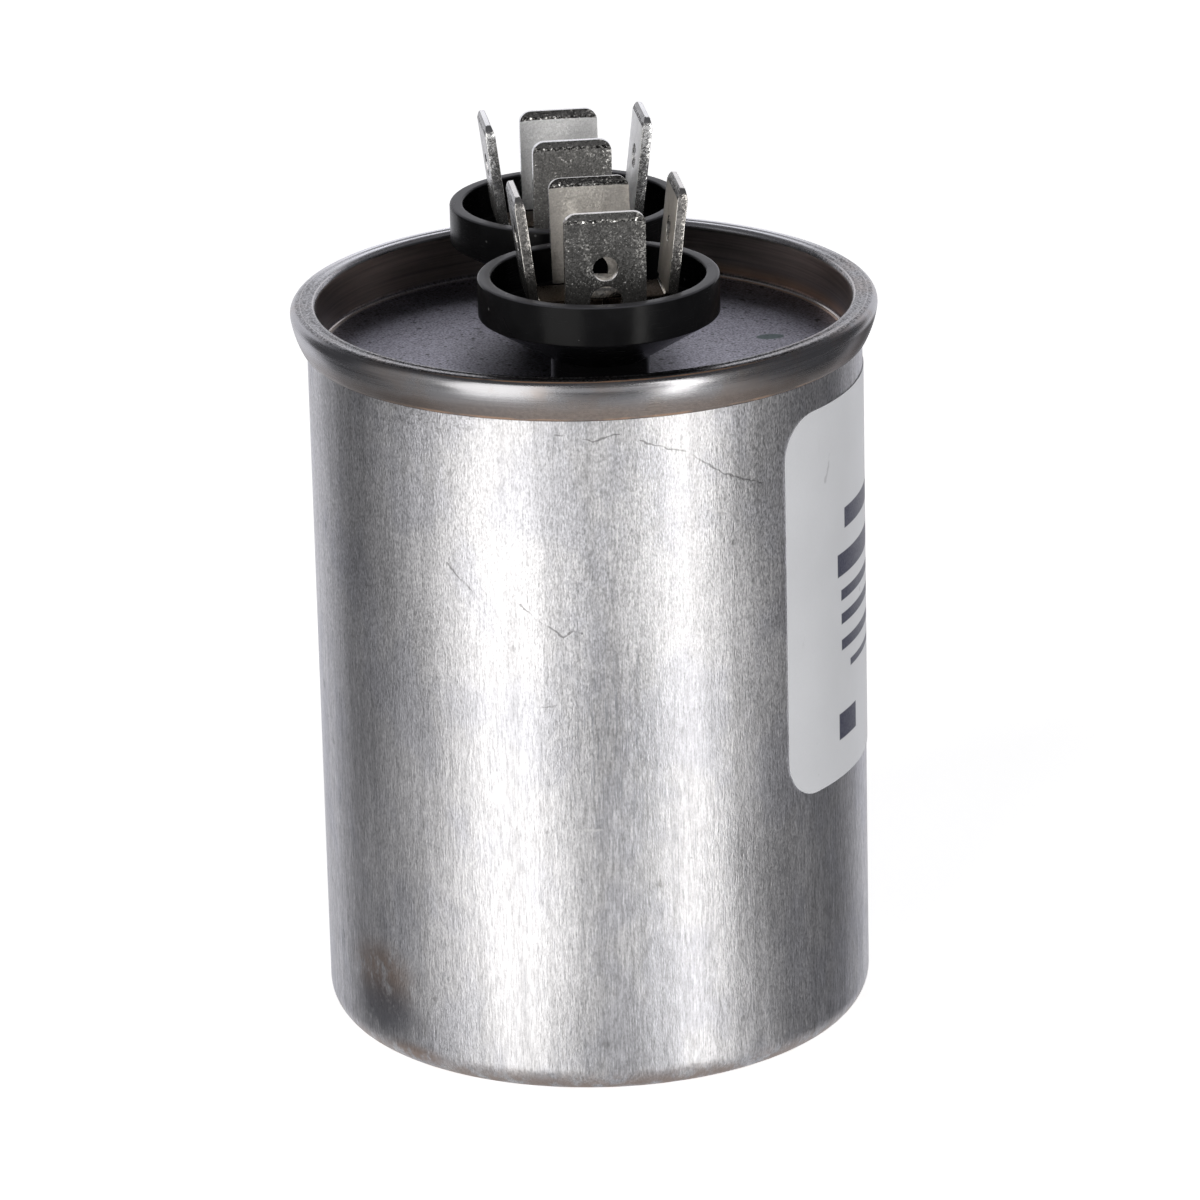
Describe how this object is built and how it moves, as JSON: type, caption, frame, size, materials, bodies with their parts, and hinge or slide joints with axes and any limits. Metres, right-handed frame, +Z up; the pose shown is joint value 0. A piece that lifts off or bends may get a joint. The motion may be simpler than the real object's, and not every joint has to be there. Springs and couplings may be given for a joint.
{
  "type": "motor-run capacitor",
  "caption": "Round motor-run capacitor in a drawn aluminium can with a rolled rim, a sunk dark cover and black terminal cups that carry crossed push-on blades.",
  "frame": {"origin": "middle of the flat base, on the surface it stands on", "axes": "+Z up along the can's axis, the two terminals on Y with the front one at -Y, the label towards +X"},
  "size_m": [0.047, 0.047, 0.0723],
  "materials": {
    "can_aluminium": "satin",
    "cover_steel": "satin",
    "seam_compound": "matte",
    "cup_plastic": "semi-gloss",
    "blade_tin": "satin",
    "rivet_steel": "satin",
    "washer_rubber": "matte",
    "insulator_plastic": "matte",
    "lug_brass": "satin",
    "disc_board": "matte",
    "lead_tin": "satin",
    "film": "semi-gloss",
    "end_metal": "matte",
    "sleeve_film": "matte",
    "label_paper": "matte"
  },
  "bodies": {
    "root": {"can": "can_aluminium", "cover": "cover_steel", "seam_seal": "seam_compound", "front_terminal_cup": "cup_plastic", "rear_terminal_cup": "cup_plastic", "front_lower_blades": "blade_tin", "rear_lower_blades": "blade_tin", "front_upper_blades": "blade_tin", "rear_upper_blades": "blade_tin", "front_rivet": "rivet_steel", "rear_rivet": "rivet_steel", "front_seal_washer": "washer_rubber", "rear_seal_washer": "washer_rubber", "front_inner_insulator": "insulator_plastic", "rear_inner_insulator": "insulator_plastic", "front_lug": "lug_brass", "rear_lug": "lug_brass", "interrupter_disc": "disc_board", "top_lead": "lead_tin", "bottom_lead": "lead_tin", "winding": "film", "core_tube": "insulator_plastic", "top_end_spray": "end_metal", "bottom_end_spray": "end_metal", "insulating_sleeve": "sleeve_film", "bottom_insulator": "insulator_plastic", "label": "label_paper"}
  },
  "joints": []
}
